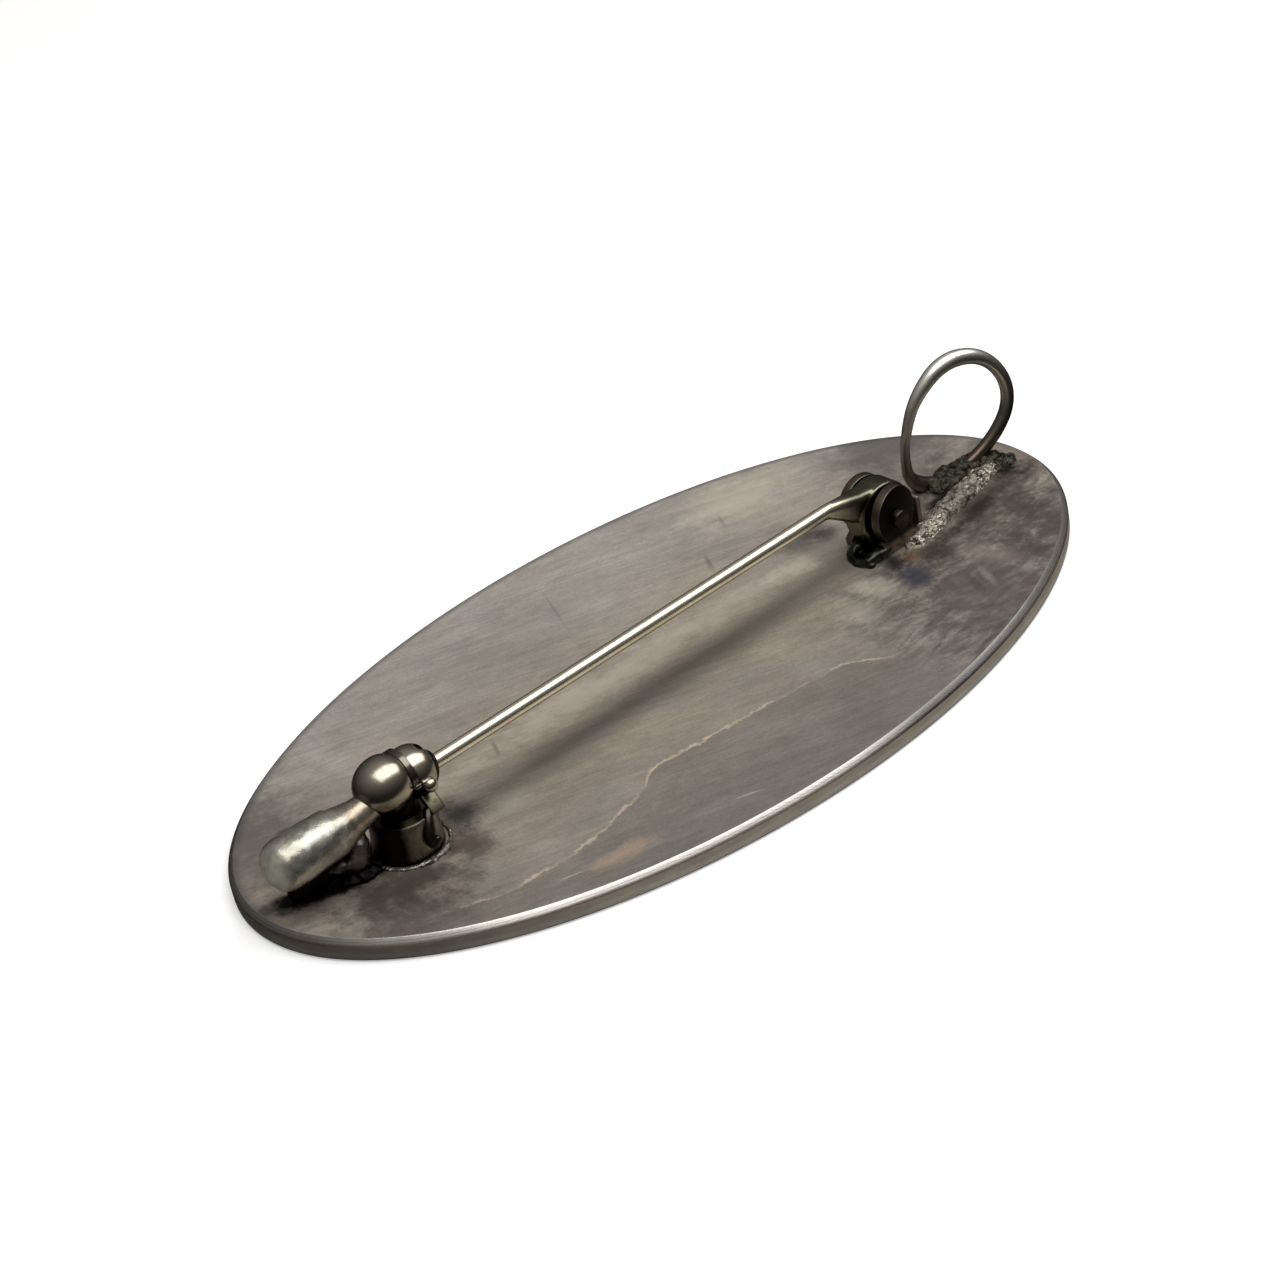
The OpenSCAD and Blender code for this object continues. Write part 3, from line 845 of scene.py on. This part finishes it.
def solder_material(name, dark, bright, share, gloss, depth):
    """Rough solder: dark hollows and bright grains. The share is how much of it is bright."""
    shade = Shade(name)
    lumps = shade.noise((2.4, 1.6, 2.4), 6, 0.7)
    specks = shade.noise((5, 2.8, 5), 5, 0.7)
    ends = shade.gap(shade.y, SOLDER_DULL_Y)
    specks = shade.plus(specks, shade.range(ends, 0.8, 3.2, -0.03, 0.05))
    middle = tuple(0.6 * d + 0.4 * b for d, b in zip(dark, bright))
    colour = shade.mix(shade.range(lumps, 0.38, 0.58), dark, middle)
    colour = shade.mix(shade.range(specks, 0.68 - share, 0.8 - share), colour, bright)
    rough = shade.range(specks, 0.4, 0.7, gloss + 0.25, gloss)
    return shade.finish(colour, rough, shade.bump(lumps, depth * 2, shade.bump(specks, depth)), 0.95)


# Plate and bail
def oval(inset, z, share=1):
    """Ring of the plate: in from its edge, then drawn in towards its centre by the share."""
    a, b = ((half - inset) * share for half in PLATE_HALF)
    return [Vector((a * cos(t), b * sin(t), z)) for t in full_turn(PLATE_SEGMENTS)]


def waved(obj):
    """Gives the back face its unevenness, which ends at the edge."""
    for vert in obj.data.vertices:
        if vert.co.z > BACK - 0.001:
            edge_share = hypot(vert.co.x / PLATE_HALF[0], vert.co.y / PLATE_HALF[1])
            wave = uneven(vert.co, PLATE_WAVES) - PLATE_SINK
            vert.co.z += wave * max(0, 1 - edge_share ** 6)
    return obj


def build_plate(material):
    rim = CHAMFER[0][0]
    rings = [oval(rim, BACK, 0.01 + 0.99 * k / PLATE_RINGS) for k in range(PLATE_RINGS)]
    rings += [oval(inset, BACK - drop) for inset, drop in CHAMFER]
    rings += [oval(0, z) for z in WALL_HEIGHTS]
    for k in range(FRONT_ROUND_STEPS + 1):
        t = radians(90 * k / FRONT_ROUND_STEPS)
        rings.append(oval(FRONT_ROUND * (1 - cos(t)), FRONT_ROUND * (1 - sin(t))))
    rings += [oval(FRONT_ROUND, 0, share) for share in FRONT_SHARES]
    plate = waved(loft("plate", rings))
    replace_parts(ready(plate, FLAT, "brooch", material), "back_plate")


def build_bail(material):
    path = smooth_path([(0, along, height, radius) for along, height, radius in BAIL_WIRE], 8)
    fitting(sweep("bail", path, 40), material, place=BAIL)


def build_bail_solder(material):
    """Dark solder between the bail's feet."""
    mound = fused_lumps("bail_solder", [
        ((0.5, 1.4, -0.1), 1, (1.1, 1.1, 0.75)),
        ((0.1, 2.6, 0), 1, (1.1, 1.3, 0.8)),
        ((0, 3.9, 0.1), 1, (1.1, 1.3, 0.85)),
        ((0, 5, 0.1), 1, (1.1, 1.2, 0.85)),
        ((0.5, 6.3, 0), 0.95, (1.6, 1.2, 0.55)),
        ((0.9, 7.1, 0), 0.8, (1.3, 1.1, 0.45))], 0.09)
    roughened(mound, [(0.3, 0.9, 3), (0.16, 0.4, 8), (0.07, 0.2, 4)])
    fitting(mound, material, 60, BAIL)


def build_solder_ridge(material):
    """Long ridge of bright solder beside the bail, along (x, y, radius) points."""
    line = smooth_path([(3.7, 21.3, 0.8), (3.4, 22.6, 0.95), (2.6, 24.8, 0.95), (2, 27.3, 1),
                        (1.3, 29.8, 1), (1, 31, 0.85)], 4)
    lumps = [((x, y, BACK - 0.3), radius, (1, 1.3, 0.95)) for x, y, radius in line]
    ridge = roughened(fused_lumps("solder_ridge", lumps, 0.08),
                      [(0.26, 1.3, 1), (0.14, 0.5, 5), (0.08, 0.22, 2)])
    fitting(ridge, material, 60, FLAT)


# Hinge and stem
def ear_outline(centre, radius):
    """Side view of an ear with its neck and foot strip."""
    out = [(2.7, 0), (2.7, 0.5), (1.9, 0.6), (1.5, 0.85), (1.35, 1.25)]
    out += arc(centre, radius, -47, 227, 40)
    out += [(-1.35, 1.05), (-1.6, 0.8), (-1.9, 0.5), (-1.9, 0)]
    return out


def splayed(obj, x0, angle):
    """Turns an ear about its upright centre line, and leaves its foot straight."""
    foot_top, neck = 0.6, 1.2
    for vert in obj.data.vertices:
        turn = radians(angle) * min(1, max(0, (vert.co.z - foot_top) / neck))
        x, y = vert.co.x - x0, vert.co.y
        vert.co.x = x0 + x * cos(turn) - y * sin(turn)
        vert.co.y = x * sin(turn) + y * cos(turn)
    return obj


def build_bracket(ear_metal, web_metal):
    """Two round ears, the near one a little splayed, and the web behind the hub."""
    near = slab("ear", ear_outline((-0.1, 2.83), 2.09), NEAR_EAR, 0.14)
    splayed(near, sum(NEAR_EAR) / 2, EAR_SPLAY)
    far = slab("ear", ear_outline((0, 2.8), 2.05), FAR_EAR, 0.14)
    fitting(joined("hinge_bracket", [near, far]), ear_metal)
    outline = [(2.4, 0), (2.4, 2.5), (2.5, 2.7), (2.72, 2.7), (2.8, 2.5), (2.8, 0)]
    fitting(slab("hinge_web", outline, WEB, 0.1), web_metal)


def build_hinge_foot(material):
    """Two bent claws, a bar across them and their seat, in front of the bracket."""
    paths = [
        [(-0.75, -1.4, 0.5, 0.5), (-0.75, -2.1, 0.62, 0.52), (-0.75, -2.9, 0.3, 0.5)],
        [(1.45, -1.4, 0.5, 0.5), (1.45, -2.2, 0.62, 0.52), (1.4, -3.1, 0.3, 0.5)],
        [(-1.4, -1.9, 0.1, 0.45), (-0.7, -3, 0.05, 0.5), (0.6, -3.5, 0.05, 0.5), (1.6, -3.2, 0.05, 0.45)]]
    parts = [sweep("claw", smooth_path(path), 24) for path in paths]
    parts.append(ball("seat", (0.3, -2.3, 0), 1, (1.5, 1.2, 0.35)))
    foot = fused("hinge_foot", parts, 0.07, 3)
    foot.data.transform(moved(0.35, 0.1, 0) @ Matrix.Diagonal((0.92, 0.95, 0.78, 1)))
    fitting(roughened(foot, [(0.08, 0.5, 4)]), material, 60)


def build_rivet(material):
    """Rivet with a low head on its far side and a taller one on its near side."""
    far_head = [(AXIS, -2.35), (0.45, -2.33), (0.62, -2.2), (0.66, -2), (0.6, -1.9)]
    near_head = [(0.6, 2), (0.7, 2.08), (0.7, 2.46), (0.64, 2.56), (0.5, 2.6), (AXIS, 2.61)]
    shank = lathe("shank", far_head + near_head)
    shank.data.transform(moved(0, 0, HINGE_H) @ turned("Y", 90))
    rivet = ready(shank, PIN, "brooch", material)
    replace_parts(rivet, "hinge_rivet")


def superellipse(y, half_w, low, high, power):
    """Ring across the stem, from round at power 2 to nearly square at power 4."""
    ring = []
    mid, half_h = (low + high) / 2, (high - low) / 2
    for a in full_turn(40):
        c, s = cos(a), sin(a)
        ring.append(Vector((copysign(abs(c) ** (2 / power), c) * half_w, y,
                            mid + copysign(abs(s) ** (2 / power), s) * half_h)))
    return ring


def stem_wire():
    """Wire with its point, as rings of (y, radius)."""
    point = [(-41.65, 0.03), (-41.6, 0.12), (-41.45, 0.25), (-41.2, 0.38), (-40.95, 0.47)]
    straight = [(y, STEM_R) for y in (-40.7, -30, -20, -10, -4.9)]
    fall = tan(radians(STEM_FALL))
    rings = []
    for y, radius in [*point, *straight, (-4.2, 0.5)]:
        height = STEM_H + y * fall
        rings.append(superellipse(y, radius, height - radius, height + radius, 2))
    return loft("wire", rings)


def stem_head():
    """Root, which deepens from the wire, fused with the hub that turns on the rivet."""
    # Rings of the root: y, half width, underside, top and power
    root = loft("root", [superellipse(*ring) for ring in (
        (-5.2, 0.5, 4.32, 5.34, 2), (-4.7, 0.52, 4.2, 5.34, 2.1), (-4.2, 0.56, 3.9, 5.3, 2.3),
        (-3.6, 0.62, 3.5, 5.22, 2.6), (-2.8, 0.74, 2.95, 5.1, 3), (-1.9, 0.9, 2.6, 4.98, 3.5),
        (-0.8, 0.97, 2.6, 4.9, 4), (0.3, 0.97, 2.8, 4.82, 4))])
    bore = 0.68
    rounding = [(HUB_R - 0.18, 0), (HUB_R - 0.04, 0.08), (HUB_R, 0.25)]
    profile = [(bore, -HUB_HALF)] + [(r, inset - HUB_HALF) for r, inset in rounding]
    profile += [(r, HUB_HALF - inset) for r, inset in rounding[::-1]] + [(bore, HUB_HALF)]
    hub = lathe("hub", profile, 96, True)
    hub.data.transform(moved(0, 0, HINGE_H) @ turned("Y", 90))
    return fused("head", [root, hub], 0.07, 6)


def build_stem(material):
    stem = joined("pin_stem_wire", [stem_wire(), stem_head()])
    ready(stem, PIN, "stem", material)
    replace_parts(stem, "pin_stem")


# Catch and end tube
def catch_ball_profile():
    """Ball, then the groove and the collar behind it, as (radius, distance behind the ball's centre)."""
    rear = BALL_REAR - BALL.y
    stop = acos(rear / BALL_R)
    steps = 40
    profile = [(AXIS, -BALL_R * BALL_STRETCH)]
    for k in range(1, steps + 1):
        a = pi - (pi - stop) * k / steps
        along = BALL_R * cos(a)
        profile.append((BALL_R * sin(a), along * (BALL_STRETCH if along < 0 else 1)))
    front, back, edge = COLLAR_FRONT - BALL.y, COLLAR_REAR - BALL.y, 0.06
    profile += [(GROOVE_R, rear + 0.02), (GROOVE_R, front)]
    profile += [(COLLAR_R - edge, front), (COLLAR_R, front + edge)]
    profile += [(COLLAR_R, back - edge), (COLLAR_R - edge, back)]
    return profile + [(1.3, back), (AXIS, back)]


def build_catch_ball(ball_material, inside_material):
    body = lathe("body", catch_ball_profile())
    body.data.transform(moved(*BALL) @ turned("X", -90))
    window_ys = (COLLAR_FRONT - 0.04, COLLAR_REAR + 0.5)
    cut(body, [hood_block("window", WINDOW_ANGLE, WINDOW_W, window_ys, (1.2, 4))])
    ledge = hood_block("ledge", LEDGE_ANGLE, 0.3, (COLLAR_FRONT, COLLAR_REAR), (1.6, 2.05), 0.08)
    fitting(joined("catch_ball", [body, ledge]), ball_material)
    # The spigot is black, painted shade inside the ball and the hood
    fitting(rod_along("spigot", SPIGOT_R, COLLAR_REAR - 0.2, SPIGOT_END), inside_material)


def build_drum(material):
    """Round base with a rolled rim, and the stalk that carries the ball."""
    drum = [(AXIS, 0), (2.45, 0), (2.42, 0.4), (2.3, 2.4), (2.27, 2.62), (2.2, 2.75), (2.1, DRUM_H),
            (2, 2.72)]
    stalk = [(1.85, 2.4), (1.45, 2.3), (1.36, 2.5), (1.32, 3.2), (1.28, 4.2), (AXIS, 4.3)]
    cone = lathe("cone", drum + stalk)
    cone.data.transform(moved(0, CATCH_Y, 0))
    fitting(cone, material)


def build_hook(material):
    """Short curled hook on the catch's side, black as painted shade of the groove beside it."""
    path = smooth_path([(1.75, -43, 2.9, 0.3), (2.1, -43.3, 2.5, 0.38), (2.4, -43.6, 1.9, 0.44),
                        (2.6, -43.75, 1.4, 0.44), (2.85, -43.7, 1.2, 0.38), (3.05, -43.5, 1.5, 0.26)])
    fitting(sweep("catch_hook", path, 24), material)


def build_catch_solder(material):
    """Thin uneven ring of solder round the base."""
    lumps = []
    for a in full_turn(72):
        radius = 0.22 + 0.07 * sin(3 * a + 1)
        centre = (BASE_RING_R * cos(a), CATCH_Y + BASE_RING_R * sin(a), 0.02)
        lumps.append((centre, radius, (1, 1, 0.9)))
    ring = roughened(fused_lumps("catch_solder", lumps, 0.07), [(0.1, 0.8, 1), (0.05, 0.3, 6)])
    fitting(ring, material, 60)


def build_end_tube(material):
    """Tube beyond the catch, with a flared neck and a domed end."""
    neck = smooth_path([(0, -44.9, 4.75, 1), (0, -46.1, 4.5, 1.04), (-0.1, -47.2, 4.25, 1.18),
                        (-0.25, -48.2, 4.02, 1.45), (-0.35, -49.2, 3.9, 1.66)])
    body = smooth_path([(-0.28, -48.62, 4.02, 1.25), (-0.3, -48.75, 4, 1.5), (-0.34, -48.95, 3.97, 1.66),
                        (-0.4, -49.3, 3.9, 1.72), (-0.72, -51.2, 3.62, 1.8), (-0.9, -52.5, 3.42, 1.84),
                        (-0.95, -52.95, 3.36, 1.78), (-0.98, -53.4, 3.31, 1.58), (-1, -53.75, 3.27, 1.24),
                        (-1.02, -53.98, 3.24, 0.8), (-1.03, -54.08, 3.23, 0.3)])
    tube = fused("end_tube", [sweep("neck", neck, 48), sweep("body", body, 64, False)], 0.08, 5)
    roughened(tube, [(0.05, 1.6, 2), (0.015, 0.5, 5)])
    fitting(tube, material, 60)


def build_tube_solder(material):
    """Melted solder that carries the tube's neck."""
    mound = fused_lumps("tube_solder", [
        ((0, -47.7, 2.3), 0.85, (1, 1, 1.6)),
        ((-0.3, -47.9, 1), 0.95, (1, 1.2, 1)),
        ((-0.6, -48.9, 1.15), 0.65, (1, 1.6, 0.9)),
        ((-0.3, -47.6, 0.1), 1.3, (1, 1.5, 0.5))], 0.08, 6)
    roughened(mound, [(0.22, 0.9, 1), (0.1, 0.4, 6)])
    fitting(mound, material, 60)


def build_tube_seat(material):
    """Seat under the tube, black as painted shade, taller than it is wide."""
    path = smooth_path([(-0.9, -48.6, 1.2, 0.6), (-1.3, -50.5, 1, 0.6), (-1.5, -52.2, 0.8, 0.5)])
    seat = sweep("tube_seat", path, 32)
    middle, taller = 1, 1.7
    for vert in seat.data.vertices:
        vert.co.z = (vert.co.z - middle) * taller + middle
    fitting(seat, material)


def hood_dome():
    """Hollow dome with its bore, the stem's way, the slot and the window."""
    front = HOOD_FRONT - HOOD.y
    stop = acos(front / HOOD_R)
    outline = [(AXIS, front), (HOOD_R * sin(stop) - 0.05, front)]
    steps = 36
    for k in range(steps + 1):
        a = stop * (1 - k / steps)
        edge = 0.03 if k == 0 else 0
        outline.append((max(AXIS, HOOD_R * sin(a)), HOOD_R * cos(a) + edge))
    dome = lathe("dome", outline)
    dome.data.transform(moved(*HOOD) @ turned("X", -90))
    before, beyond = HOOD_FRONT - 1, HOOD.y + 3
    return cut(dome, [
        rod_along("bore", BORE_R, before, BORE_END),
        rod_along("way", WAY_R, before, beyond),
        hood_block("slot", 0, SLOT_W, (SLOT_FROM, beyond), (0, 4)),
        hood_block("window", WINDOW_ANGLE, WINDOW_W, (before, SPIGOT_END), (0.9, 4))])


def build_hood(material, lever_material):
    """Turning hood with its thumb knob, ledge and lever."""
    dome = hood_dome()
    knob = ball("knob", KNOB, KNOB_R)
    neck = sweep("neck", [(1.5, HOOD.y, 4.8, 0.36), (1.9, HOOD.y, 4.72, 0.34)], 24)
    ledge = hood_block("ledge", LEDGE_ANGLE, 0.32, (HOOD_FRONT + 0.02, HOOD.y), (1.6, 2.08), 0.1)
    lever = hood_block("lever", LEVER_ANGLE, 0.42, (HOOD.y - 0.55, HOOD.y + 0.55), (1.5, 3.1), 0.12)
    ready(lever, PIN, "hood", lever_material)
    hood = joined("catch_hood_shell", [dome, knob, neck, ledge])
    ready(hood, PIN, "hood", material)
    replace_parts(hood, "catch_hood")


# Camera, floor and light
def add_camera():
    data = bpy.data.cameras.new("camera")
    data.sensor_width = SENSOR
    data.lens = FOCAL_PIXELS / IMAGE_PIXELS * SENSOR
    data.clip_start = 0.01
    data.clip_end = 20
    camera = linked("camera", data)
    turn = turned("Z", CAMERA_AZIMUTH) @ turned("X", 90 - CAMERA_ELEVATION) @ turned("Z", CAMERA_ROLL)
    camera.matrix_world = moved(*CAMERA_TARGET) @ turn @ moved(0, 0, CAMERA_DISTANCE)
    bpy.context.scene.camera = camera


def add_floor():
    """Pale floor that glows a little and isn't mirrored in the metal."""
    corners = [(-1, -1), (1, -1), (1, 1), (-1, 1)]
    floor = make("floor", [(x * FLOOR_HALF, y * FLOOR_HALF, FLOOR_Z) for x, y in corners], [(0, 1, 2, 3)])
    material = bpy.data.materials.new("floor")
    material.use_nodes = True
    looks = {"Base Color": FLOOR_COLOUR, "Roughness": 0.9, "Specular IOR Level": 0,
             "Emission Color": FLOOR_GLOW, "Emission Strength": FLOOR_GLOW_STRENGTH}
    for name, value in looks.items():
        material.node_tree.nodes["Principled BSDF"].inputs[name].default_value = value
    floor.data.materials.append(material)
    floor.visible_glossy = False


def add_lamp(name, place, aim, size, energy):
    light = bpy.data.lights.new(name, "AREA")
    light.shape = "RECTANGLE"
    light.size, light.size_y = size
    light.energy = energy
    lamp = linked(name, light)
    lamp.location = place
    lamp.rotation_euler = (Vector(aim) - Vector(place)).to_track_quat("-Z", "Y").to_euler()


def add_sky():
    """Room that is dark at the horizon and bright overhead."""
    shade = Shade("studio", "worlds")
    direction = shade.node("ShaderNodeTexCoord", {}).outputs["Generated"]
    height = shade.range(shade.parts(direction)[2], -1, 1, smooth=False)
    ramp = shade.node("ShaderNodeValToRGB", {0: height})
    stops = ramp.color_ramp.elements
    for k, (sine, level) in enumerate(SKY):
        place = (sine + 1) / 2
        stop = stops[k] if k < 2 else stops.new(place)
        stop.position = place
        stop.color = (*(level * c for c in SKY_TINT), 1)
    shade.fill(shade.tree.nodes["Background"], {"Color": ramp.outputs[0]})
    bpy.context.scene.world = shade.owner


add_camera()
add_floor()
add_lamp("top", *LAMP)
add_sky()
bpy.context.scene.view_settings.view_transform = "Standard"

metals = {name: metal_material(name, *look) for name, look in METALS.items()}
solders = {name: solder_material(name, *look) for name, look in SOLDERS.items()}
hood_metal = shaded_hood_material()

build_plate(plate_material())
build_bail(wire_material())
build_bail_solder(solders["dark_solder"])
build_solder_ridge(solders["bright_solder"])
build_bracket(bracket_material(), metals["bracket_web"])
build_hinge_foot(metals["bracket_foot"])
build_rivet(metals["rivet"])
build_stem(stem_material())
build_catch_ball(hood_metal, metals["black_for_shade"])
build_drum(base_material())
build_hook(metals["dark_hook"])
build_catch_solder(solders["ring_solder"])
build_end_tube(tube_material())
build_tube_solder(melted_material())
build_tube_seat(metals["black_for_shade"])
build_hood(hood_metal, metals["hood_lever"])
